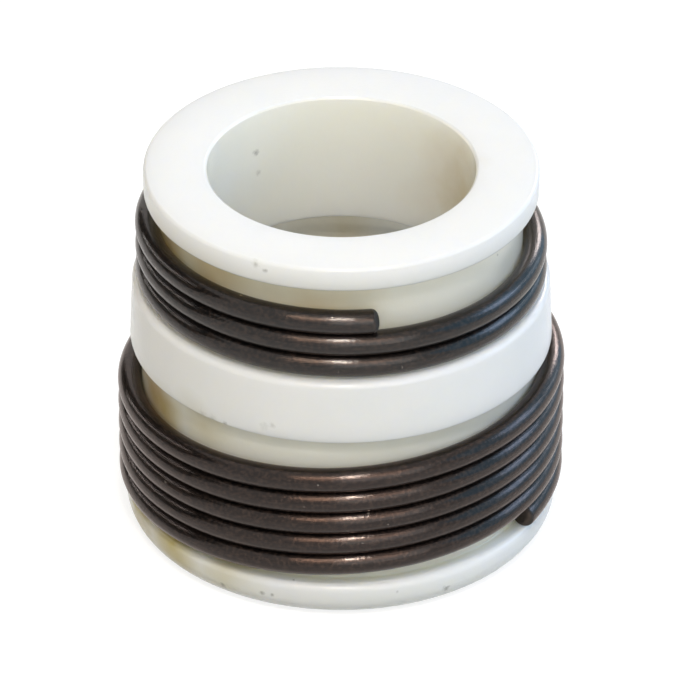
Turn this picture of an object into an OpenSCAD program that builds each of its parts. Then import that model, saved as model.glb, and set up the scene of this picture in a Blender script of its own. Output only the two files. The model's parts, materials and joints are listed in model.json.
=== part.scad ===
// Valve stem seal: a moulded white sleeve that is pushed over the end of a valve guide, with two close-wound
// wire springs on it. The upper spring presses the lip on the valve stem, the lower one grips the guide.
// The sleeve stands on its bottom rim, +Z is up along the bore, and +X is at the viewer's right.

/* [Bores] */
// Diameter of the valve stem that runs in the lip
stem_d = 11; // [9:0.5:12]
// Small bevel that breaks the edge of the stem bore's mouth
mouth_chamfer = 0.1; // [0.05:0.05:0.6]
// Outside diameter of the valve guide that the skirt grips
guide_d = 14.5; // [13:0.5:16]
// Lead-in chamfer at the foot of the guide bore
guide_lead_in = 0.35; // [0.1:0.05:0.5]
// How far the guide's stop lies below the stem spring's groove
stop_drop = 0.7; // [0.2:0.05:1.2]

/* [Sleeve] */
// Wall of the lip, behind the stem spring
lip_wall = 1.96; // [1.5:0.01:2.6]
// Wall of the skirt, behind the guide spring
skirt_wall = 1.03; // [0.8:0.01:1.5]
// How far the top flange stands out over the lip
flange_lip = 0.64; // [0.3:0.01:1]
// Thickness of the top flange
flange_t = 1.05; // [0.6:0.01:1.5]
// Rounding of the top flange's edges
flange_r = 0.15; // [0.05:0.05:0.3]
// How far the middle band's upper edge stands out over the skirt
band_top_lip = 0.34; // [0.25:0.01:0.6]
// How far the middle band's lower edge stands out over the skirt
band_foot_lip = 0.46; // [0.2:0.01:0.8]
// Height of the middle band between the two grooves
band_h = 2.72; // [1.5:0.02:4]
// Rounding of the middle band's upper edge
band_r = 0.25; // [0.05:0.05:0.3]
// How far the bottom rim stands out over the skirt
rim_lip = 0.72; // [0.6:0.01:1]
// Height of the bottom rim
rim_h = 1.6; // [1.4:0.05:2.4]
// Rounding of the bottom rim's upper edge
rim_top_r = 0.3; // [0.1:0.05:0.4]
// Rounding of the bottom rim's lower edge
rim_foot_r = 1; // [0.3:0.05:1.2]

/* [Springs] */
// Diameter of the spring wire
wire_d = 1; // [0.7:0.01:1.1]
// Gap between one turn and the next
turn_gap = 0.01; // [0.01:0.005:0.05]
// Gap between a spring and the sleeve it sits on
spring_clearance = 0.02; // [0.01:0.005:0.05]
// Bevel of the wire's cut ends
end_bevel = 0.15; // [0.02:0.01:0.2]
// Turns of the upper spring
stem_turns = 2.33; // [2:0.01:4]
// Turns of the lower spring
guide_turns = 5.35; // [4:0.01:7]
// Where the upper spring's lower end lies, in degrees from +X
stem_end_angle = 162; // [0:1:360]
// Where the lower spring's lower end lies, in degrees from +X
guide_end_angle = 328; // [0:1:360]
// How far the upper spring tips up at its lower end, as a share of one turn's rise
stem_tip = 0.24; // [0:0.01:0.25]
// How far the lower spring tips up at its lower end, as a share of one turn's rise
guide_tip = 0.295; // [0:0.005:0.3]
// Free height above the upper spring in its groove
stem_play = 0.92; // [0.2:0.01:2]
// Free height above the lower spring in its groove
guide_play = 0.62; // [0.2:0.01:2]

/* [Hidden] */
$fn = 96;

// How far past its lower end each spring stands highest, in degrees
stem_tip_lead = 18;
guide_tip_lead = 32;
// Facets of the swept wire
wire_sides = 12;
steps_per_turn = 40;
// Steps in each rounded edge of the sleeve's outline
arc_steps = 6;
// How far a cutting shape reaches past the face that it opens
cut_over = 1;

wire_r = wire_d / 2;
turn_pitch = wire_d + turn_gap;

stem_r = stem_d / 2;
guide_r = guide_d / 2;
lip_r = stem_r + lip_wall;
skirt_r = guide_r + skirt_wall;
flange_edge_r = lip_r + flange_lip;
rim_r = skirt_r + rim_lip;

// Rise of the wire's centre above its lower end, at an angle past that end
function rise(past, tip, lead) = turn_pitch * (past / 360 + tip * (cos(past - lead) - cos(lead)));

// Highest point of the last turn of a spring, from its seat to the top of the wire
function spring_h(turns, tip, lead) = spring_clearance + wire_d
    + max([for (back = [0:10:360]) rise(max(0, 360 * turns - back), tip, lead)]);

// Heights from the foot of the rim, each seat standing on the one below
guide_seat_z = rim_h;
band_z = guide_seat_z + spring_h(guide_turns, guide_tip, guide_tip_lead) + guide_play;
stem_seat_z = band_z + band_h;
flange_z = stem_seat_z + spring_h(stem_turns, stem_tip, stem_tip_lead) + stem_play;
top_z = flange_z + flange_t;
stop_z = stem_seat_z - stop_drop;

// Points of an arc about a centre, from one angle to another
function arc(centre, r, from, to) =
    [for (i = [0:arc_steps]) let (a = from + (to - from) * i / arc_steps) centre + r * [cos(a), sin(a)]];

// Half section of the sleeve's outside, from the foot up
module sleeve_outline() {
    polygon(concat(
        [[0, 0]],
        arc([rim_r - rim_foot_r, rim_foot_r], rim_foot_r, -90, 0),
        arc([rim_r - rim_top_r, rim_h - rim_top_r], rim_top_r, 0, 90),
        [[skirt_r, rim_h], [skirt_r, band_z], [skirt_r + band_foot_lip, band_z]],
        arc([skirt_r + band_top_lip - band_r, stem_seat_z - band_r], band_r, 0, 90),
        [[lip_r, stem_seat_z], [lip_r, flange_z]],
        arc([flange_edge_r - flange_r, flange_z + flange_r], flange_r, -90, 0),
        arc([flange_edge_r - flange_r, top_z - flange_r], flange_r, 0, 90),
        [[0, top_z]]
    ));
}

// Cone that bevels the edge of a bore: r at z, wider by the bevel where it leaves the part, dir 1 up and -1 down
module bore_bevel(r, bevel, z, dir) {
    reach = bevel + cut_over;
    translate([0, 0, dir > 0 ? z - bevel : z - cut_over])
        cylinder(r1 = dir > 0 ? r : r + reach, r2 = dir > 0 ? r + reach : r, h = reach);
}

module seal_body() {
    color("ghostwhite")
    difference() {
        rotate_extrude() sleeve_outline();
        cylinder(r = stem_r, h = top_z + cut_over);
        bore_bevel(stem_r, mouth_chamfer, top_z, 1);
        translate([0, 0, -cut_over]) cylinder(r = guide_r, h = stop_z + cut_over);
        bore_bevel(guide_r, guide_lead_in, 0, -1);
    }
}

// Wire wound round the sleeve on a seat: one ring of points at each step, and a smaller one at each bevelled end
module wound_spring(floor_r, seat_z, turns, end_angle, tip, lead) {
    inner_r = floor_r + spring_clearance;
    // The flats between the rings touch the winding's true radius
    path_r = (inner_r + wire_r) / cos(180 / steps_per_turn);
    steps = ceil(turns * steps_per_turn);
    span = 360 * turns;
    bevel_span = end_bevel / path_r * 180 / PI;
    // Each station along the wire is its angle past the lower end and its radius there
    stations = concat(
        [[0, wire_r - end_bevel], [bevel_span, wire_r]],
        [for (i = [1:steps - 1]) [span * i / steps, wire_r]],
        [[span - bevel_span, wire_r], [span, wire_r - end_bevel]]
    );
    rings = len(stations);
    points = [for (s = stations, j = [0:wire_sides - 1])
        let (
            around = 360 * (j + 0.5) / wire_sides,
            a = end_angle + s[0],
            r = path_r + s[1] * cos(around),
            z = seat_z + spring_clearance + wire_r + rise(s[0], tip, lead) + s[1] * sin(around)
        )
        [r * cos(a), r * sin(a), z]
    ];
    function at(ring, side) = ring * wire_sides + side % wire_sides;
    walls = [for (i = [0:rings - 2], j = [0:wire_sides - 1], half = [0, 1])
        half == 0
            ? [at(i, j), at(i, j + 1), at(i + 1, j + 1)]
            : [at(i, j), at(i + 1, j + 1), at(i + 1, j)]
    ];
    first_end = [for (j = [wire_sides - 1:-1:0]) at(0, j)];
    last_end = [for (j = [0:wire_sides - 1]) at(rings - 1, j)];
    polyhedron(points, concat(walls, [first_end, last_end]), convexity = 10);
}

module stem_spring() {
    color("#4a403c")
    wound_spring(lip_r, stem_seat_z, stem_turns, stem_end_angle, stem_tip, stem_tip_lead);
}

module guide_spring() {
    color("#4a403c")
    wound_spring(skirt_r, guide_seat_z, guide_turns, guide_end_angle, guide_tip, guide_tip_lead);
}

seal_body();
stem_spring();
guide_spring();
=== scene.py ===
"""Looks of a valve stem seal: a white sleeve with two dark close-wound wire springs in its grooves.

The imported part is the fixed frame. The sleeve and both springs are made again here as finer meshes in the
same places, with rounded edges, cut wire ends and their real finishes, and each stands for its CAD node.
"""

import json
import logging
import math
from dataclasses import dataclass
from enum import Enum
from typing import Any

import bpy
from mathutils import Matrix, Quaternion, Vector


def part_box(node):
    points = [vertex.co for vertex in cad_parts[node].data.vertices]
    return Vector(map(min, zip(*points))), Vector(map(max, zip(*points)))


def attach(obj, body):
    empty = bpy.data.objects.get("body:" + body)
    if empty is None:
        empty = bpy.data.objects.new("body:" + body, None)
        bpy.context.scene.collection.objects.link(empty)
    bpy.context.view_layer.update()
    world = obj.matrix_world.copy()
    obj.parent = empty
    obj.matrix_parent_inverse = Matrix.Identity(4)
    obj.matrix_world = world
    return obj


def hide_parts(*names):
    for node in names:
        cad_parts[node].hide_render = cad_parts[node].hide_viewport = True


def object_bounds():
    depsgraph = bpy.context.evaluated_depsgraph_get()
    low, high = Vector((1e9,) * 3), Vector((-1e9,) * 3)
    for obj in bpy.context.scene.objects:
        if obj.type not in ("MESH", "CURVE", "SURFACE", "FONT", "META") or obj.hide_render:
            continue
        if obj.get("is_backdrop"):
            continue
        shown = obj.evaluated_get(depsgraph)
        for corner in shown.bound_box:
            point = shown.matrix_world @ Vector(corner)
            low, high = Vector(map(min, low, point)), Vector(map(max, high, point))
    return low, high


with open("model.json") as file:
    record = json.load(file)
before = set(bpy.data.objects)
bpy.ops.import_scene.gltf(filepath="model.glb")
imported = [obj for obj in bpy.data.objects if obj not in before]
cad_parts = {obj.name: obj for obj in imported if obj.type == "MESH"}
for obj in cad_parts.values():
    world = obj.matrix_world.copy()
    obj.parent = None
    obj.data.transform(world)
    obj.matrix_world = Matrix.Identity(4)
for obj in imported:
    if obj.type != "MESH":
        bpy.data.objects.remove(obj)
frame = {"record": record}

log = logging.getLogger("valve_stem_seal")

MM = 0.001
FULL_TURN = 2 * math.pi
# A ring with less than this share of the wire's radius belongs to a cut end
FULL_SECTION = 0.97
# A quarter turn of the sheen, from along the drawn lines to across them
ACROSS = 0.25
# How many finer layers a noise has
GRAIN_DETAIL = 2.0
LINE_DETAIL = 3.0
CLOUD_DETAIL = 4.0
BODY = "root"

Colour = tuple[float, float, float, float]
Inputs = dict[str | int, Any]


class Part(Enum):
    """The seal's pieces, by the names of their CAD nodes."""

    SLEEVE = "seal_body"
    STEM_SPRING = "stem_spring"
    GUIDE_SPRING = "guide_spring"


class Slot(Enum):
    """The record's material slots."""

    SLEEVE = "moulded_sleeve"
    WIRE = "spring_wire"


def linear(hex_code: str) -> Colour:
    """Turns an sRGB hex colour into linear light.

    Args:
        hex_code: The colour as a hash sign and six hex digits.

    Returns:
        Red, green, blue and an alpha of 1.
    """
    shares = [int(hex_code[at : at + 2], 16) / 255 for at in (1, 3, 5)]
    red, green, blue = (s / 12.92 if s <= 0.04045 else ((s + 0.055) / 1.055) ** 2.4 for s in shares)
    return red, green, blue, 1.0


def add_node(
    tree: bpy.types.NodeTree, kind: str, inputs: Inputs | None = None, **settings: Any
) -> bpy.types.Node:
    """Adds a node, sets its options and fills its inputs.

    Args:
        tree: The shader or geometry tree that the node joins.
        kind: The node's type name.
        inputs: What each input takes, by name or number: a node, which gives its first output, an output
            socket, or a plain value.
        settings: The node's own options, such as an operation. They are set first, so that a name finds the
            input in use.

    Returns:
        The new node.
    """
    node = tree.nodes.new(kind)
    for name, value in settings.items():
        setattr(node, name, value)
    for key, value in (inputs or {}).items():
        if isinstance(value, bpy.types.Node):
            tree.links.new(value.outputs[0], node.inputs[key])
        elif isinstance(value, bpy.types.NodeSocket):
            tree.links.new(value, node.inputs[key])
        else:
            node.inputs[key].default_value = value
    return node


def empty_material(name: str) -> tuple[bpy.types.Material, bpy.types.NodeTree]:
    """Starts a node material with no nodes in it.

    Args:
        name: The material's name.

    Returns:
        The material and its node tree.
    """
    material = bpy.data.materials.new(name)
    material.use_nodes = True
    material.node_tree.nodes.clear()
    return material, material.node_tree


def new_object(name: str, data: bpy.types.ID) -> bpy.types.Object:
    """Puts an object with that data in the scene, at the origin.

    Args:
        name: The object's name.
        data: Its mesh, lamp or camera.

    Returns:
        The new object.
    """
    made = bpy.data.objects.new(name, data)
    bpy.context.scene.collection.objects.link(made)
    return made


@dataclass(frozen=True)
class Mark:
    """A spot on the sleeve.

    Its angle is in degrees from +X, its radius, height and size are in millimetres, and its strength is a
    share of its full colour.
    """

    angle: float
    radius: float
    height: float
    size: float
    strength: float

    def centre(self) -> Vector:
        """The mark's middle, in millimetres."""
        turn = math.radians(self.angle)
        return Vector((self.radius * math.cos(turn), self.radius * math.sin(turn), self.height))


@dataclass(frozen=True)
class SealPlastic:
    """White fluoropolymer, moulded as a tube and turned to shape.

    It lets a little light in, and the cutting tool has left fine rings round its axis. Oil has stained it,
    and a warm cream and brown shade is painted into its hollows, its shaded left side and its bore.
    Lengths are in millimetres.
    """

    face: str = "#f9fbfb"
    clouded: str = "#f2f5f5"
    # Painted shade: a cream tint laid on by each point's shelter, deepest in the grooves and bores
    sheltered: str = "#e8e0c0"
    # Partly stain, partly painted warm shade, laid where the marks below lie
    oil_and_warm_shade: str = "#c4b15e"
    # Partly varnish, partly painted warm shade in the hollows
    varnish_and_warm_shade: str = "#c0a066"
    # Dark specks of dirt, and painted shade along the band's lower edge
    dirt_and_edge_shade: str = "#5f5b50"
    # Varnish and painted warm shade are at full strength from this much shelter on
    full_varnish_and_shade_shelter: float = 0.4
    roughness: float = 0.15
    roughness_spread: float = 0.10
    ior: float = 1.38
    glow: float = 0.7
    glow_depth: float = 1.3
    thin_glow_depth: float = 12.0
    # How far red, green and blue light spread inside, as shares of the depth
    glow_spread: tuple[float, float, float] = (1.0, 0.95, 0.82)
    cloud_size: float = 3.5
    # Real grain and tool rings are a few hundredths of a millimetre across, so they are drawn coarser
    grain_size: float = 0.16
    grain_height: float = 0.004
    ring_spacing: float = 0.14
    ring_height: float = 0.0012
    # A mark fades from its core to its edge, both as shares of its size
    mark_core: float = 0.4
    mark_edge: float = 1.1
    # Each mark gives its angle, radius, height, size and strength
    specks: tuple[Mark, ...] = (
        Mark(237.2, 8.98, 0.65, 0.34, 0.6),
        Mark(249, 8.98, 0.92, 0.24, 0.6),
        Mark(252, 8.98, 0.90, 0.18, 0.6),
        Mark(299, 8.98, 0.77, 0.32, 0.6),
        Mark(257.3, 8.67, 1.6, 0.12, 0.6),
        Mark(285, 8.98, 1.19, 0.14, 0.5),
        Mark(245, 8.1, 16.11, 0.36, 0.35),
        Mark(248, 8.1, 15.91, 0.22, 0.45),
        Mark(328, 7.46, 14.47, 0.12, 0.6),
        Mark(130.5, 5.5, 14.39, 0.30, 0.5),
        Mark(129, 5.5, 13.36, 0.26, 0.4),
        # These five lay a broken dark line along the band's lower edge: partly dirt, partly painted shade
        # where the groove meets it
        Mark(230, 8.72, 8.5, 0.50, 0.2),
        Mark(233.5, 8.73, 8.5, 0.40, 0.25),
        Mark(237.5, 8.74, 8.5, 0.26, 0.5),
        Mark(249, 8.72, 8.92, 0.40, 0.2),
        Mark(251.5, 8.72, 9.02, 0.26, 0.3),
    )
    # Part varnish, part painted warm shade: under the flange at the left and front, in the lower groove at the
    # left, on the bore's right wall, and on the shaded wall under the stop
    varnish_and_warm_shade_marks: tuple[Mark, ...] = (
        Mark(200, 7.46, 14.2, 6.0, 0.7),
        Mark(224, 7.46, 14.2, 6.0, 0.55),
        Mark(262, 7.46, 14.2, 6.0, 0.5),
        Mark(200, 8.28, 7.6, 4.0, 0.8),
        Mark(89, 7.25, 8.6, 5.0, 0.7),
        Mark(24, 5.5, 13.0, 7.0, 0.5),
    )
    # Partly real stains, partly painted warm shade: on the shaded left of the lower groove and the rim, and on
    # the bore's right wall
    oil_stains_and_warm_shade: tuple[Mark, ...] = (
        Mark(10, 5.5, 13.0, 5.0, 0.6),
        Mark(209, 8.28, 7.2, 3.6, 0.75),
        Mark(228, 8.28, 7.6, 3.2, 0.4),
        Mark(199, 8.9, 1.2, 4.4, 0.95),
        Mark(219, 8.9, 1.5, 3.8, 0.95),
        Mark(237, 8.9, 1.6, 3.0, 0.5),
    )

    def material(self) -> bpy.types.Material:
        """Builds the sleeve's material.

        Returns:
            The material.
        """
        # Turned fluoropolymer looks waxy: white with a soft sheen and faintly ringed, and its hollows take a
        # painted cream shade
        made, tree = empty_material("white_fluoropolymer_turned")
        noise, ranged = "ShaderNodeTexNoise", "ShaderNodeMapRange"
        place = add_node(tree, "ShaderNodeTexCoord").outputs["Object"]
        in_mm = add_node(tree, "ShaderNodeVectorMath", {0: place, "Scale": 1 / MM}, operation="SCALE")
        cloud = add_node(tree, noise, {"Vector": in_mm, "Scale": 1 / self.cloud_size, "Detail": CLOUD_DETAIL})
        grain = add_node(tree, noise, {"Vector": in_mm, "Scale": 1 / self.grain_size, "Detail": GRAIN_DETAIL})
        shelter, thinness = (
            add_node(tree, "ShaderNodeAttribute", attribute_name=name).outputs["Fac"]
            for name in (Sleeve.SHELTER_NAME, Sleeve.THINNESS_NAME)
        )
        dirt_and_edge_shade = self.spots(tree, in_mm, grain, self.specks)
        oil_and_warm_shade = self.spots(tree, in_mm, cloud, self.oil_stains_and_warm_shade)
        # Only the sheltered hollows take this tone: partly old oil baked to a varnish, partly painted warm
        # shade
        baked_and_shaded_spots = self.spots(tree, in_mm, cloud, self.varnish_and_warm_shade_marks)
        hollow = add_node(tree, ranged, {"Value": shelter, "From Max": self.full_varnish_and_shade_shelter})
        varnish_and_warm_shade = add_node(tree, "ShaderNodeMath", {0: baked_and_shaded_spots, 1: hollow}, operation="MULTIPLY")
        colour: Colour | bpy.types.NodeSocket = linear(self.face)
        # Over the white go clouds, painted cream shade by shelter, stains that are partly painted warm shade,
        # and specks
        for share, over in (
            (cloud, self.clouded),
            (shelter, self.sheltered),
            (oil_and_warm_shade, self.oil_and_warm_shade),
            (varnish_and_warm_shade, self.varnish_and_warm_shade),
            (dirt_and_edge_shade, self.dirt_and_edge_shade),
        ):
            laid = {"Factor": share, "A": colour, "B": linear(over)}
            colour = add_node(tree, "ShaderNodeMix", laid, data_type="RGBA").outputs["Result"]
        depths = {"To Min": self.glow_depth * MM, "To Max": self.thin_glow_depth * MM}
        depth = add_node(tree, ranged, {"Value": thinness, **depths})
        sheens = {"To Min": self.roughness, "To Max": self.roughness + self.roughness_spread}
        rough = add_node(tree, ranged, {"Value": cloud, **sheens})
        grained = add_node(tree, "ShaderNodeBump", {"Height": grain, "Distance": self.grain_height * MM})
        ringed = add_node(
            tree,
            "ShaderNodeBump",
            {"Height": self.turned_rings(tree), "Distance": self.ring_height * MM, "Normal": grained},
        )
        surface = add_node(
            tree,
            "ShaderNodeBsdfPrincipled",
            {
                "Base Color": colour,
                "Roughness": rough,
                "IOR": self.ior,
                "Subsurface Weight": self.glow,
                "Subsurface Radius": self.glow_spread,
                "Subsurface Scale": depth,
                "Normal": ringed,
            },
        )
        add_node(tree, "ShaderNodeOutputMaterial", {"Surface": surface})
        return made

    def turned_rings(self, tree: bpy.types.NodeTree) -> bpy.types.Node:
        """Draws the tool's rings round the axis, spaced along the sleeve's outline.

        Args:
            tree: The material's tree.

        Returns:
            The rings' height, from 0 to 1.
        """
        run = add_node(tree, "ShaderNodeUVMap", uv_map=Sleeve.UV_NAME)
        along = add_node(tree, "ShaderNodeSeparateXYZ", {0: run}).outputs["Y"]
        return add_node(
            tree,
            "ShaderNodeTexNoise",
            {"W": along, "Scale": 1 / self.ring_spacing, "Detail": LINE_DETAIL},
            noise_dimensions="1D",
        )

    def spots(
        self,
        tree: bpy.types.NodeTree,
        in_mm: bpy.types.Node,
        ragged: bpy.types.Node,
        marks: tuple[Mark, ...],
    ) -> bpy.types.Node:
        """Draws marks with ragged edges, which fade from their middles out.

        Args:
            tree: The material's tree.
            in_mm: The point's place in millimetres.
            ragged: A noise that breaks up the marks' edges.
            marks: The marks, at least one.

        Returns:
            How marked the point is.
        """
        total: bpy.types.Node | None = None
        for mark in marks:
            away = add_node(tree, "ShaderNodeVectorMath", {0: in_mm, 1: mark.centre()}, operation="DISTANCE")
            frayed = add_node(
                tree,
                "ShaderNodeMath",
                {0: ragged, 1: mark.size, 2: away.outputs["Value"]},
                operation="MULTIPLY_ADD",
            )
            spot = add_node(
                tree,
                "ShaderNodeMapRange",
                {
                    "Value": frayed,
                    "From Min": self.mark_edge * mark.size,
                    "From Max": self.mark_core * mark.size,
                    "To Max": mark.strength,
                },
            )
            if total is None:
                total = spot
            else:
                total = add_node(tree, "ShaderNodeMath", {0: total, 1: spot}, operation="MAXIMUM")
        return total


@dataclass(frozen=True)
class TemperedWire:
    """Oil-tempered spring steel wire.

    Its oxide skin is speckled with brown grains. The drawing die has left lines along the wire, which spread
    its highlights across it, and rare nicks show bare steel. Lengths are in millimetres.
    """

    name: str = "oil_tempered_spring_steel"
    skin: str = "#0f0d0d"
    patch: str = "#0b0c0e"
    grain: str = "#54443b"
    nick: str = "#a39a92"
    cut: str = "#2c2823"
    gleam: str = "#fff7f1"
    shine: float = 0.72
    grain_strength: float = 0.32
    roughness: float = 0.15
    roughness_spread: float = 0.08
    stretch: float = 0.8
    cut_roughness: float = 0.7
    skin_metallic: float = 0.4
    patch_size: float = 2.2
    # Where each noise starts to show and where it shows in full
    patch_edges: tuple[float, float] = (0.35, 0.65)
    line_edges: tuple[float, float] = (0.3, 0.7)
    grain_edges: tuple[float, float] = (0.44, 0.64)
    nick_edges: tuple[float, float] = (0.74, 0.78)
    # Real die lines and grains are about a hundredth of a millimetre wide, so they are drawn coarser
    line_width: float = 0.07
    line_length: float = 0.7
    line_height: float = 0.008
    grain_size: float = 0.13
    grain_height: float = 0.0045
    nick_size: float = 0.5

    def material(self) -> bpy.types.Material:
        """Builds a spring's material.

        Returns:
            The material.
        """
        # Oil-tempered wire looks near black, with a satin sheen streaked along it and a few bright nicks
        made, tree = empty_material(self.name)
        noise, ranged = "ShaderNodeTexNoise", "ShaderNodeMapRange"
        place = add_node(tree, "ShaderNodeTexCoord").outputs["Object"]
        in_mm = add_node(tree, "ShaderNodeVectorMath", {0: place, "Scale": 1 / MM}, operation="SCALE")
        run = add_node(tree, "ShaderNodeUVMap", uv_map=WoundSpring.UV_NAME)
        per_line = (1 / self.line_length, 1 / self.line_width, 1.0)
        stretched = add_node(tree, "ShaderNodeMapping", {"Vector": run, "Scale": per_line})
        lines = add_node(tree, noise, {"Vector": stretched, "Scale": 1.0, "Detail": LINE_DETAIL})
        patches, grains, nicks = (
            add_node(tree, noise, {"Vector": in_mm, "Scale": 1 / size, "Detail": detail})
            for size, detail in (
                (self.patch_size, CLOUD_DETAIL),
                (self.grain_size, GRAIN_DETAIL),
                (self.nick_size, GRAIN_DETAIL),
            )
        )
        patched, speckled, nicked = (
            add_node(tree, ranged, {"Value": spread, "From Min": none, "From Max": full, "To Max": most})
            for spread, (none, full), most in (
                (patches, self.patch_edges, 1.0),
                (grains, self.grain_edges, self.grain_strength),
                (nicks, self.nick_edges, 1.0),
            )
        )
        cut = add_node(tree, "ShaderNodeAttribute", attribute_name=WoundSpring.CUT_NAME).outputs["Fac"]
        colour: Colour | bpy.types.NodeSocket = linear(self.skin)
        for share, over in (
            (patched, self.patch),
            (speckled, self.grain),
            (nicked, self.nick),
            (cut, self.cut),
        ):
            laid = {"Factor": share, "A": colour, "B": linear(over)}
            colour = add_node(tree, "ShaderNodeMix", laid, data_type="RGBA").outputs["Result"]
        metallic = add_node(tree, ranged, {"Value": nicked, "To Min": self.skin_metallic})
        rough = add_node(
            tree,
            ranged,
            {
                "Value": lines,
                "From Min": self.line_edges[0],
                "From Max": self.line_edges[1],
                "To Min": self.roughness + self.roughness_spread,
                "To Max": self.roughness,
            },
        )
        dulled = add_node(tree, "ShaderNodeMix", {"Factor": cut, "A": rough, "B": self.cut_roughness})
        grained = add_node(tree, "ShaderNodeBump", {"Height": grains, "Distance": self.grain_height * MM})
        drawn = add_node(
            tree, "ShaderNodeBump", {"Height": lines, "Distance": self.line_height * MM, "Normal": grained}
        )
        along = add_node(tree, "ShaderNodeTangent", direction_type="UV_MAP", uv_map=WoundSpring.UV_NAME)
        surface = add_node(
            tree,
            "ShaderNodeBsdfPrincipled",
            {
                "Base Color": colour,
                "Metallic": metallic,
                "Roughness": dulled,
                "Normal": drawn,
                "Anisotropic": self.stretch,
                "Anisotropic Rotation": ACROSS,
                "Tangent": along,
                "Specular IOR Level": self.shine,
                "Specular Tint": linear(self.gleam),
            },
        )
        add_node(tree, "ShaderNodeOutputMaterial", {"Surface": surface})
        return made


@dataclass(frozen=True)
class Corner:
    """A corner of the sleeve's half section, in millimetres.

    It has a rounding, and says how sheltered from light it is and how much light the thin wall lets through
    there, both as shares.
    """

    radius: float
    height: float
    rounding: float
    # The shelter sets how much cream shade is painted here, and how far the stains kept to hollows reach
    shelter: float = 0.0
    thinness: float = 0.0


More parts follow.
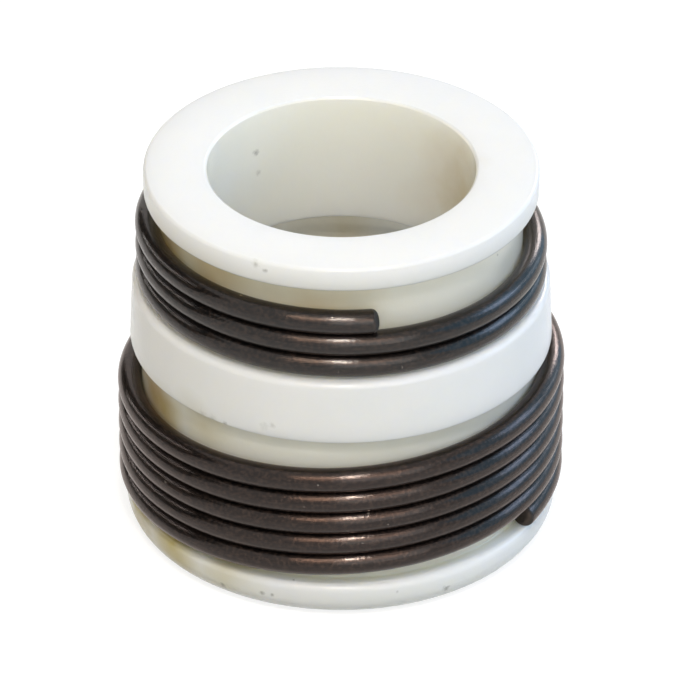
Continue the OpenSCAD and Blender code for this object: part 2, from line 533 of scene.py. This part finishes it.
@dataclass
class Sleeve:
    """The moulded sleeve, a body of revolution.

    Lengths are in millimetres, and heights are from the foot of the rim.
    """

    UV_NAME = "outline_run"
    SHELTER_NAME = "shelter"
    THINNESS_NAME = "thinness"

    stem_r: float
    guide_r: float
    rim_r: float
    top_z: float
    mouth_bevel: float = 0.1
    lead_in: float = 0.35
    lip_wall: float = 1.96
    skirt_wall: float = 1.03
    flange_lip: float = 0.64
    flange_t: float = 1.05
    band_z: float = 8.47
    band_h: float = 2.72
    band_foot_lip: float = 0.46
    band_top_lip: float = 0.34
    stop_drop: float = 0.7
    rim_h: float = 1.6
    rim_foot_rounding: float = 1.0
    rim_top_rounding: float = 0.3
    band_rounding: float = 0.25
    flange_rounding: float = 0.15
    groove_rounding: float = 0.1
    edge_rounding: float = 0.05
    mouth_rounding: float = 0.04
    bore_end_rounding: float = 0.08
    stop_rounding: float = 0.15
    lead_in_rounding: float = 0.06
    columns: int = 240
    degrees_per_step: float = 9.0

    @classmethod
    def from_frame(cls) -> "Sleeve":
        """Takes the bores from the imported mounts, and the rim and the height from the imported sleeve's box.

        Returns:
            The sleeve, in its packed size.
        """
        mounts = frame["record"]["mounts"]
        bores = {mount["name"]: mount["dims"]["r_mm"] for mount in mounts if mount["kind"] == "bore"}
        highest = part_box(Part.SLEEVE.value)[1]
        return cls(
            stem_r=bores["stem_bore"],
            guide_r=bores["guide_bore"],
            rim_r=highest[0] / MM,
            top_z=highest[2] / MM,
        )

    @property
    def lip_r(self) -> float:
        """Radius of the lip, which is the floor of the upper groove."""
        return self.stem_r + self.lip_wall

    @property
    def skirt_r(self) -> float:
        """Radius of the skirt, which is the floor of the lower groove."""
        return self.guide_r + self.skirt_wall

    @property
    def stem_seat_z(self) -> float:
        """Height of the upper spring's seat, which is the top of the band."""
        return self.band_z + self.band_h

    def corners(self) -> list[Corner]:
        """Lists the half section's corners.

        Returns:
            The corners, from the foot's inner edge out, up the outside and down the bores.
        """
        flange_r = self.lip_r + self.flange_lip
        flange_z = self.top_z - self.flange_t
        stop_z = self.stem_seat_z - self.stop_drop
        return [
            Corner(self.guide_r + self.lead_in, 0.0, self.edge_rounding, shelter=0.3),
            Corner(self.rim_r, 0.0, self.rim_foot_rounding, shelter=0.1),
            Corner(self.rim_r, self.rim_h, self.rim_top_rounding, shelter=0.05),
            Corner(self.skirt_r, self.rim_h, self.groove_rounding, shelter=0.4),
            Corner(self.skirt_r, self.band_z, self.edge_rounding, shelter=0.4),
            Corner(self.skirt_r + self.band_foot_lip, self.band_z, self.edge_rounding),
            Corner(self.skirt_r + self.band_top_lip, self.stem_seat_z, self.band_rounding),
            Corner(self.lip_r, self.stem_seat_z, self.groove_rounding, shelter=0.5, thinness=0.4),
            Corner(self.lip_r, flange_z, self.groove_rounding, shelter=0.5, thinness=0.4),
            Corner(flange_r, flange_z, self.flange_rounding, shelter=0.1),
            Corner(flange_r, self.top_z, self.flange_rounding),
            Corner(self.stem_r + self.mouth_bevel, self.top_z, self.mouth_rounding),
            Corner(self.stem_r, self.top_z - self.mouth_bevel, self.mouth_rounding, shelter=0.3),
            Corner(self.stem_r, stop_z, self.bore_end_rounding, shelter=0.2),
            Corner(self.guide_r, stop_z, self.stop_rounding, shelter=0.6, thinness=1.0),
            Corner(self.guide_r, self.lead_in, self.lead_in_rounding, shelter=0.2, thinness=1.0),
        ]

    def outline(self) -> list[Corner]:
        """Rounds every corner of the half section.

        Returns:
            The points of the closed outline, in order. Their rounding is zero.
        """
        corners = self.corners()
        points: list[Corner] = []
        for before, here, after in zip(corners[-1:] + corners[:-1], corners, corners[1:] + corners[:1]):
            at = Vector((here.radius, here.height))
            back = (Vector((before.radius, before.height)) - at).normalized()
            on = (Vector((after.radius, after.height)) - at).normalized()
            turned = math.pi - back.angle(on)
            reach = here.rounding * math.tan(turned / 2)
            centre = at + (back + on).normalized() * (here.rounding / math.cos(turned / 2))
            first = at + back * reach - centre
            side = math.copysign(1.0, -back.cross(on))
            steps = max(2, round(math.degrees(turned) / self.degrees_per_step))
            for step in range(steps + 1):
                spoke = Matrix.Rotation(side * turned * step / steps, 2) @ first
                radius, height = centre.x + spoke.x, centre.y + spoke.y
                points.append(Corner(radius, height, 0.0, here.shelter, here.thinness))
        return points

    def mesh(self) -> bpy.types.Mesh:
        """Turns the outline round the axis.

        Returns:
            A closed mesh in metres, with the run along the outline as its UV map, and the shelter and the
            thinness as attributes.
        """
        outline = self.outline()
        rows = len(outline)
        turns = [FULL_TURN * column / self.columns for column in range(self.columns)]
        points = [
            (p.radius * MM * math.cos(a), p.radius * MM * math.sin(a), p.height * MM)
            for p in outline
            for a in turns
        ]
        faces = []
        for row in range(rows):
            low = row * self.columns
            high = (row + 1) % rows * self.columns
            for column in range(self.columns):
                beside = (column + 1) % self.columns
                faces.append((low + column, low + beside, high + beside, high + column))
        made = bpy.data.meshes.new(Part.SLEEVE.value)
        made.from_pydata(points, [], faces)
        self.map_outline(made, outline)
        for name in (self.SHELTER_NAME, self.THINNESS_NAME):
            layer = made.attributes.new(name, "FLOAT", "POINT")
            layer.data.foreach_set("value", [getattr(p, name) for p in outline for _ in turns])
        made.shade_smooth()
        made.update()
        return made

    def map_outline(self, made: bpy.types.Mesh, outline: list[Corner]) -> None:
        """Gives the mesh a UV map in millimetres: round the axis across, along the outline up.

        Args:
            made: The sleeve's mesh, with its faces row by row.
            outline: The outline that its rows follow.
        """
        runs = [0.0]
        for here, after in zip(outline, outline[1:] + outline[:1]):
            runs.append(runs[-1] + math.hypot(after.radius - here.radius, after.height - here.height))
        across = FULL_TURN * self.rim_r / self.columns
        layer = made.uv_layers.new(name=self.UV_NAME)
        places: list[float] = []
        for row in range(len(outline)):
            for column in range(self.columns):
                left, right = across * column, across * (column + 1)
                places += [left, runs[row], right, runs[row], right, runs[row + 1], left, runs[row + 1]]
        layer.data.foreach_set("uv", places)

    def build(self, finish: SealPlastic) -> bpy.types.Object:
        """Makes the sleeve's piece and dresses it.

        Args:
            finish: The plastic it is made of.

        Returns:
            The piece, riding on the body in place of its CAD node.
        """
        made = self.mesh()
        made.materials.append(finish.material())
        return seat_piece(new_object("sleeve", made), Part.SLEEVE)


def seat_piece(piece: bpy.types.Object, part: Part) -> bpy.types.Object:
    """Fixes a finished piece to the frame.

    Args:
        piece: The piece, in place.
        part: The CAD node that it stands for.

    Returns:
        The same piece.
    """
    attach(piece, BODY)
    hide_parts(part.value)
    return piece


class WireSweep:
    """The geometry tree that winds a wire round the axis and cuts its ends."""

    INPUTS = (
        ("Winding radius", "NodeSocketFloat"),
        ("Wire radius", "NodeSocketFloat"),
        ("Turns", "NodeSocketFloat"),
        ("Pitch", "NodeSocketFloat"),
        ("Start height", "NodeSocketFloat"),
        ("Start angle", "NodeSocketFloat"),
        ("Tip", "NodeSocketFloat"),
        ("Tip lead", "NodeSocketFloat"),
        ("End rounding", "NodeSocketFloat"),
        ("Rings", "NodeSocketInt"),
        ("End rings", "NodeSocketInt"),
        ("Sides", "NodeSocketInt"),
        ("Material", "NodeSocketMaterial"),
    )

    def __init__(self) -> None:
        """Builds the tree."""
        self.tree = bpy.data.node_groups.new("wound_wire", "GeometryNodeTree")
        for name, kind in self.INPUTS:
            self.tree.interface.new_socket(name=name, in_out="INPUT", socket_type=kind)
        self.tree.interface.new_socket(name="Geometry", in_out="OUTPUT", socket_type="NodeSocketGeometry")
        self.given = add_node(self.tree, "NodeGroupInput").outputs
        self.sweep()

    def stations(self) -> tuple[bpy.types.Node, bpy.types.Node]:
        """Spaces the rings along the wire, close together where its ends are rounded.

        Returns:
            Each ring's distance from the wire's lower end, and its share of the wire's radius.
        """
        tree, given = self.tree, self.given
        kind = "ShaderNodeMath"
        index = add_node(tree, "GeometryNodeInputIndex")
        last = add_node(tree, kind, {0: given["Rings"], 1: 1.0}, operation="SUBTRACT")
        from_last = add_node(tree, kind, {0: last, 1: index}, operation="SUBTRACT")
        from_end = add_node(tree, kind, {0: index, 1: from_last}, operation="MINIMUM")
        end_share = add_node(
            tree, kind, {0: from_end, 1: given["End rings"]}, operation="DIVIDE", use_clamp=True
        )
        quarter = add_node(tree, kind, {0: end_share, 1: math.pi / 2}, operation="MULTIPLY")
        cosine = add_node(tree, kind, {0: quarter}, operation="COSINE")
        sine = add_node(tree, kind, {0: quarter}, operation="SINE")
        # Inside the rounding, the rings follow its quarter circle
        drawn_in = add_node(tree, kind, {0: 1.0, 1: cosine}, operation="SUBTRACT")
        rounded = add_node(tree, kind, {0: given["End rounding"], 1: drawn_in}, operation="MULTIPLY")
        # Between the roundings of the two ends, they are evenly spaced
        turned = add_node(tree, kind, {0: given["Turns"], 1: FULL_TURN}, operation="MULTIPLY")
        length = add_node(tree, kind, {0: turned, 1: given["Winding radius"]}, operation="MULTIPLY")
        straight = add_node(
            tree, kind, {0: given["End rounding"], 1: -2.0, 2: length}, operation="MULTIPLY_ADD"
        )
        gaps = add_node(tree, kind, {0: given["End rings"], 1: -2.0, 2: last}, operation="MULTIPLY_ADD")
        step = add_node(tree, kind, {0: straight, 1: gaps}, operation="DIVIDE")
        beyond = add_node(tree, kind, {0: from_end, 1: given["End rings"]}, operation="SUBTRACT")
        past_end = add_node(tree, kind, {0: beyond, 1: 0.0}, operation="MAXIMUM")
        run = add_node(tree, kind, {0: past_end, 1: step, 2: rounded}, operation="MULTIPLY_ADD")
        # The upper half mirrors the lower one
        middle = add_node(tree, kind, {0: last, 1: 0.5}, operation="MULTIPLY")
        upper = add_node(tree, kind, {0: index, 1: middle}, operation="GREATER_THAN")
        mirrored = add_node(tree, kind, {0: run, 1: -2.0, 2: length}, operation="MULTIPLY_ADD")
        distance = add_node(tree, kind, {0: upper, 1: mirrored, 2: run}, operation="MULTIPLY_ADD")
        # The radius shrinks by the rounding at the very end
        cut_back = add_node(
            tree, kind, {0: given["End rounding"], 1: given["Wire radius"]}, operation="DIVIDE"
        )
        narrowed = add_node(tree, kind, {0: 1.0, 1: sine}, operation="SUBTRACT")
        lost = add_node(tree, kind, {0: cut_back, 1: narrowed}, operation="MULTIPLY")
        return distance, add_node(tree, kind, {0: 1.0, 1: lost}, operation="SUBTRACT")

    def centre_line(self, distance: bpy.types.Node) -> bpy.types.Node:
        """Places a point of the wire's centre line: a helix that is tipped on its seat.

        Args:
            distance: The point's distance from the wire's lower end.

        Returns:
            The point.
        """
        tree, given = self.tree, self.given
        kind = "ShaderNodeMath"
        past = add_node(tree, kind, {0: distance, 1: given["Winding radius"]}, operation="DIVIDE")
        past_lead = add_node(tree, kind, {0: past, 1: given["Tip lead"]}, operation="SUBTRACT")
        tipped = add_node(tree, kind, {0: past_lead}, operation="COSINE")
        tipped_end = add_node(tree, kind, {0: given["Tip lead"]}, operation="COSINE")
        swing = add_node(tree, kind, {0: tipped, 1: tipped_end}, operation="SUBTRACT")
        turns = add_node(tree, kind, {0: past, 1: FULL_TURN}, operation="DIVIDE")
        rise = add_node(tree, kind, {0: given["Tip"], 1: swing, 2: turns}, operation="MULTIPLY_ADD")
        height = add_node(
            tree, kind, {0: given["Pitch"], 1: rise, 2: given["Start height"]}, operation="MULTIPLY_ADD"
        )
        spoke = add_node(tree, "ShaderNodeCombineXYZ", {"X": given["Winding radius"], "Z": height})
        angle = add_node(tree, kind, {0: past, 1: given["Start angle"]}, operation="ADD")
        return add_node(
            tree, "ShaderNodeVectorRotate", {"Vector": spoke, "Angle": angle}, rotation_type="Z_AXIS"
        )

    def sweep(self) -> None:
        """Sweeps a round section along the centre line, and maps the wire along and round itself."""
        tree, given = self.tree, self.given
        distance, share = self.stations()
        line = add_node(tree, "GeometryNodeMeshLine", {"Count": given["Rings"]})
        laid = add_node(
            tree, "GeometryNodeSetPosition", {"Geometry": line, "Position": self.centre_line(distance)}
        )
        run = add_node(tree, "GeometryNodeCaptureAttribute", {"Geometry": laid})
        run.capture_items.new("FLOAT", "Distance")
        run.capture_items.new("FLOAT", "Share")
        tree.links.new(distance.outputs[0], run.inputs[1])
        tree.links.new(share.outputs[0], run.inputs[2])
        path = add_node(tree, "GeometryNodeMeshToCurve", {"Mesh": run})
        upright = add_node(tree, "GeometryNodeSetCurveNormal", {"Curve": path}, mode="Z_UP")
        ring = add_node(
            tree,
            "GeometryNodeCurvePrimitiveCircle",
            {"Resolution": given["Sides"], "Radius": given["Wire radius"]},
        )
        around = add_node(tree, "GeometryNodeCaptureAttribute", {"Geometry": ring})
        around.capture_items.new("FLOAT", "Around")
        tree.links.new(add_node(tree, "GeometryNodeSplineParameter").outputs["Factor"], around.inputs[1])
        swept = add_node(
            tree,
            "GeometryNodeCurveToMesh",
            {"Curve": upright, "Profile Curve": around, "Scale": run.outputs[2], "Fill Caps": True},
        )
        along_mm = add_node(tree, "ShaderNodeMath", {0: run.outputs[1], 1: MM}, operation="DIVIDE")
        girth = add_node(
            tree, "ShaderNodeMath", {0: given["Wire radius"], 1: FULL_TURN / MM}, operation="MULTIPLY"
        )
        around_mm = add_node(tree, "ShaderNodeMath", {0: around.outputs[1], 1: girth}, operation="MULTIPLY")
        place = add_node(tree, "ShaderNodeCombineXYZ", {"X": along_mm, "Y": around_mm})
        mapped = add_node(
            tree,
            "GeometryNodeStoreNamedAttribute",
            {"Geometry": swept, "Name": WoundSpring.UV_NAME, "Value": place},
            data_type="FLOAT2",
            domain="CORNER",
        )
        # The wire is bare and dull where it was cut: that is where its section is less than full
        cut = add_node(tree, "ShaderNodeMath", {0: run.outputs[2], 1: FULL_SECTION}, operation="LESS_THAN")
        marked = add_node(
            tree,
            "GeometryNodeStoreNamedAttribute",
            {"Geometry": mapped, "Name": WoundSpring.CUT_NAME, "Value": cut},
            data_type="FLOAT",
            domain="POINT",
        )
        smooth = add_node(tree, "GeometryNodeSetShadeSmooth", {"Geometry": marked})
        real = add_node(tree, "GeometryNodeRealizeInstances", {"Geometry": smooth})
        dressed = add_node(tree, "GeometryNodeSetMaterial", {"Geometry": real, "Material": given["Material"]})
        add_node(tree, "NodeGroupOutput", {"Geometry": dressed})


@dataclass
class WoundSpring:
    """A close-wound wire spring that hugs the sleeve. Lengths are in millimetres, angles in degrees."""

    UV_NAME = "wire_run"
    CUT_NAME = "cut_end"

    part: Part
    floor_r: float
    seat_z: float
    turns: float
    end_angle: float
    tip: float
    tip_lead: float
    wire_d: float = 1.0
    turn_gap: float = 0.01
    clearance: float = 0.0075
    end_rounding: float = 0.3
    rings_per_turn: int = 180
    end_rings: int = 7
    sides: int = 28

    def sizes(self, material: bpy.types.Material) -> dict[str, Any]:
        """Gives the sweep's inputs.

        Args:
            material: The wire's material.

        Returns:
            Each input's value by its name, in metres and radians.
        """
        wire_r = self.wire_d / 2
        return {
            "Winding radius": (self.floor_r + self.clearance + wire_r) * MM,
            "Wire radius": wire_r * MM,
            "Turns": self.turns,
            "Pitch": (self.wire_d + self.turn_gap) * MM,
            "Start height": (self.seat_z + self.clearance + wire_r) * MM,
            "Start angle": math.radians(self.end_angle),
            "Tip": self.tip,
            "Tip lead": math.radians(self.tip_lead),
            "End rounding": self.end_rounding * MM,
            "Rings": math.ceil(self.turns * self.rings_per_turn) + 2 * self.end_rings + 1,
            "End rings": self.end_rings,
            "Sides": self.sides,
            "Material": material,
        }

    def build(self, sweep: WireSweep, material: bpy.types.Material) -> bpy.types.Object:
        """Winds the spring and makes it a plain mesh.

        Args:
            sweep: The tree that winds wire.
            material: The wire's material.

        Returns:
            The piece, riding on the body in place of its CAD node.
        """
        coil = new_object("coil", bpy.data.meshes.new("coil"))
        winding = coil.modifiers.new("winding", "NODES")
        winding.node_group = sweep.tree
        sizes = self.sizes(material)
        for socket in sweep.tree.interface.items_tree:
            if socket.in_out == "INPUT":
                winding[socket.identifier] = sizes[socket.name]
        depsgraph = bpy.context.evaluated_depsgraph_get()
        made = bpy.data.meshes.new_from_object(coil.evaluated_get(depsgraph), depsgraph=depsgraph)
        bpy.data.objects.remove(coil)
        made.name = self.part.value
        return seat_piece(new_object(f"{self.part.value}_wire", made), self.part)


def direction(azimuth: float, elevation: float) -> Vector:
    """Points from the seal to a place in the studio.

    Args:
        azimuth: Degrees round the seal, from its front to its right.
        elevation: Degrees above the level.

    Returns:
        The direction, one metre long.
    """
    around, up = math.radians(azimuth), math.radians(elevation)
    return Vector((math.sin(around) * math.cos(up), -math.cos(around) * math.cos(up), math.sin(up)))


@dataclass(frozen=True)
class Softbox:
    """A studio lamp aimed at the seal. Its place is in degrees round and above it, and metres away.

    A lamp with no height of its own is square. A long one can be twisted about its aim, in degrees.
    """

    name: str
    azimuth: float
    elevation: float
    distance: float
    width: float
    level: float
    colour: str
    height: float = 0.0
    twist: float = 0.0

    def build(self, target: Vector) -> None:
        """Hangs the lamp.

        Args:
            target: The point that it is aimed at.
        """
        lamp = bpy.data.lights.new(self.name, "AREA")
        lamp.shape = "RECTANGLE"
        lamp.size = self.width
        lamp.size_y = self.height or self.width
        lamp.color = linear(self.colour)[:3]
        # A white face square to the lamp is lit to this level of white
        lamp.energy = self.level * math.pi**2 * self.distance**2
        hung = new_object(self.name, lamp)
        towards = direction(self.azimuth, self.elevation)
        hung.location = target + towards * self.distance
        aimed = towards.to_track_quat("Z", "Y") @ Quaternion((0, 0, 1), math.radians(self.twist))
        hung.rotation_euler = aimed.to_euler()


@dataclass(frozen=True)
class Card:
    """A studio card beside the seal, which shows in reflections alone. Its place is given as a lamp's is."""

    name: str
    azimuth: float
    elevation: float
    distance: float
    width: float
    height: float
    colour: str
    glow: float = 1.0

    def build(self, target: Vector) -> None:
        """Stands the card up, facing the seal.

        Args:
            target: The point that it faces.
        """
        towards = direction(self.azimuth, self.elevation)
        turned = towards.to_track_quat("Z", "Y")
        corners = [
            target + towards * self.distance + turned @ Vector((self.width * x / 2, self.height * y / 2, 0.0))
            for x, y in ((-1, -1), (1, -1), (1, 1), (-1, 1))
        ]
        made = bpy.data.meshes.new(self.name)
        made.from_pydata(corners, [], [(0, 1, 2, 3)])
        # Lit paper looks like one flat, even colour
        material, tree = empty_material(f"{self.name}_paper")
        paper = add_node(tree, "ShaderNodeEmission", {"Color": linear(self.colour), "Strength": self.glow})
        add_node(tree, "ShaderNodeOutputMaterial", {"Surface": paper})
        made.materials.append(material)
        card = new_object(self.name, made)
        card.visible_camera = False
        card.visible_diffuse = False
        card.visible_shadow = False
        card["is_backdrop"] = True


@dataclass(frozen=True)
class Studio:
    """A white floor, a white surround, soft lamps, and cards that tone the reflections."""

    floor_radius: float = 2.0
    floor_sides: int = 64
    floor_drop: float = 0.02
    floor_bounce: str = "#a4a4a0"
    floor_shade: str = "#a0a0a0"
    floor_white: float = 0.78
    backdrop: str = "#ffffff"
    surround_left: str = "#968c74"
    surround_right: str = "#a4aeb4"
    # Name, azimuth, elevation, distance, width, level and colour, and for a strip its height and twist
    lamps: tuple[Softbox, ...] = (
        Softbox("key_lamp", 1, 56, 0.30, 0.026, 0.36, "#fffcf6"),
        Softbox("warm_fill_lamp", -20, 52, 0.35, 0.10, 0.12, "#ffe2cc"),
        Softbox("front_fill_lamp", 18, 27, 0.40, 0.30, 0.26, "#f2faff"),
        Softbox("cool_side_lamp", 100, 30, 0.35, 0.14, 0.22, "#b4d2ff"),
        Softbox("right_back_lamp", 154, 27, 0.35, 0.075, 0.20, "#fff8fa"),
        Softbox("left_strip_lamp", -115, 25, 0.35, 0.28, 0.10, "#ffffff", 0.012, 34),
        Softbox("right_strip_lamp", 115, 25, 0.35, 0.28, 0.08, "#e0eeff", 0.022, -34),
    )
    # Name, azimuth, elevation, distance, width, height and colour, and for a bright card its glow
    cards: tuple[Card, ...] = (
        Card("dark_card", -115, 25, 0.50, 0.75, 0.50, "#4a4640"),
        Card("blue_card", 103, 25, 0.50, 0.95, 0.50, "#a0ccec", 1.8),
        Card("warm_card", 2, 46, 0.50, 0.42, 0.24, "#ffdcc6", 3.0),
    )

    def build(self, target: Vector) -> None:
        """Sets up the floor, the surround, the lamps and the cards.

        Args:
            target: The middle of the seal.
        """
        self.lay_floor()
        self.surround()
        for item in (*self.lamps, *self.cards):
            item.build(target)

    def seen_rays(self, tree: bpy.types.NodeTree) -> bpy.types.Node:
        """Tells the rays that see the background, straight or in a reflection.

        Args:
            tree: A material's or the world's tree.

        Returns:
            1 for a ray that sees the background, 0 for one that only carries light.
        """
        path = add_node(tree, "ShaderNodeLightPath").outputs
        mirrored = add_node(
            tree,
            "ShaderNodeMath",
            {0: path["Is Glossy Ray"], 1: path["Is Transmission Ray"]},
            operation="MAXIMUM",
        )
        return add_node(tree, "ShaderNodeMath", {0: path["Is Camera Ray"], 1: mirrored}, operation="MAXIMUM")

    def lay_floor(self) -> None:
        """Lays a round white floor just under the seal.

        It is clear from below, so that the foot can be seen.
        """
        made = bpy.data.meshes.new("floor")
        reach, height = self.floor_radius, -self.floor_drop * MM
        turns = [FULL_TURN * side / self.floor_sides for side in range(self.floor_sides)]
        rim = [(reach * math.cos(a), reach * math.sin(a), height) for a in turns]
        made.from_pydata(rim, [], [tuple(range(self.floor_sides))])
        made.materials.append(self.floor_material())
        new_object("floor", made)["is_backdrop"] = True

    def floor_material(self) -> bpy.types.Material:
        """Builds the floor's material.

        Returns:
            The material.
        """
        # Seamless paper looks plain white round the seal's soft shadow, and throws a paler light up on it
        made, tree = empty_material("white_studio_floor")
        bounce = add_node(tree, "ShaderNodeBsdfDiffuse", {"Color": linear(self.floor_bounce)})
        shadowed = add_node(tree, "ShaderNodeBsdfDiffuse", {"Color": linear(self.floor_shade)})
        white = add_node(tree, "ShaderNodeEmission", {"Strength": self.floor_white})
        shown = add_node(tree, "ShaderNodeAddShader", {0: shadowed, 1: white})
        top = add_node(tree, "ShaderNodeMixShader", {0: self.seen_rays(tree), 1: bounce, 2: shown})
        below = add_node(tree, "ShaderNodeNewGeometry").outputs["Backfacing"]
        clear = add_node(tree, "ShaderNodeBsdfTransparent")
        both = add_node(tree, "ShaderNodeMixShader", {0: below, 1: top, 2: clear})
        add_node(tree, "ShaderNodeOutputMaterial", {"Surface": both})
        return made

    def surround(self) -> None:
        """Lights the seal from all round, warmer at the left and cooler at the right, before a backdrop."""
        world = bpy.data.worlds.new("surround")
        bpy.context.scene.world = world
        world.use_nodes = True
        tree = world.node_tree
        tree.nodes.clear()
        towards = add_node(tree, "ShaderNodeSeparateXYZ", {0: add_node(tree, "ShaderNodeTexCoord")})
        rightward = add_node(tree, "ShaderNodeMapRange", {"Value": towards, "From Min": -1.0})
        colour = add_node(
            tree,
            "ShaderNodeMix",
            {"Factor": rightward, "A": linear(self.surround_left), "B": linear(self.surround_right)},
            data_type="RGBA",
        )
        light = add_node(tree, "ShaderNodeBackground", {"Color": colour.outputs["Result"]})
        white = add_node(tree, "ShaderNodeBackground", {"Color": linear(self.backdrop)})
        both = add_node(tree, "ShaderNodeMixShader", {0: self.seen_rays(tree), 1: light, 2: white})
        add_node(tree, "ShaderNodeOutputWorld", {"Surface": both})


@dataclass(frozen=True)
class PhotoCamera:
    """The photograph's viewpoint.

    It says where the camera stands in metres, how it is turned in degrees, and its lens in millimetres.
    """

    place: tuple[float, float, float] = (0.0, -0.22367, 0.15041)
    aside: float = 0.096
    down: float = 32.6
    roll: float = 0.207
    lens: float = 328.5
    sensor: float = 36.0
    nearest: float = 0.01
    farthest: float = 10.0

    def build(self) -> None:
        """Sets up the camera and gives it to the scene."""
        data = bpy.data.cameras.new("photo_camera")
        data.lens = self.lens
        data.sensor_width = self.sensor
        data.clip_start = self.nearest
        data.clip_end = self.farthest
        camera = new_object("photo_camera", data)
        level = Matrix.Rotation(math.radians(90 - self.down), 4, "X")
        turned = Matrix.Rotation(-math.radians(self.aside), 4, "Z")
        rolled = Matrix.Rotation(math.radians(self.roll), 4, "Z")
        camera.matrix_world = Matrix.Translation(self.place) @ turned @ level @ rolled
        bpy.context.scene.camera = camera


def main() -> None:
    """Builds the seal, the studio and the camera, and reports each piece."""
    logging.basicConfig(level=logging.INFO, format="%(name)s: %(message)s")
    bpy.context.scene.view_settings.view_transform = "Standard"
    cad_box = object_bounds()
    sleeve = Sleeve.from_frame()
    wire = TemperedWire().material()
    browned_wire = TemperedWire(name="oil_tempered_spring_steel_browned", gleam="#ffeae0").material()
    sweep = WireSweep()
    stem_spring = WoundSpring(
        part=Part.STEM_SPRING,
        floor_r=sleeve.lip_r,
        seat_z=sleeve.stem_seat_z,
        turns=2.33,
        end_angle=162,
        tip=0.24,
        tip_lead=18,
    )
    guide_spring = WoundSpring(
        part=Part.GUIDE_SPRING,
        floor_r=sleeve.skirt_r,
        seat_z=sleeve.rim_h,
        turns=5.35,
        end_angle=328,
        tip=0.295,
        tip_lead=32,
    )
    pieces = [
        sleeve.build(SealPlastic()),
        stem_spring.build(sweep, wire),
        guide_spring.build(sweep, browned_wire),
    ]
    for piece in pieces:
        log.info("%s: %d faces", piece.name, len(piece.data.polygons))
    Studio().build((cad_box[0] + cad_box[1]) / 2)
    PhotoCamera().build()


if __name__ == "__main__":
    main()
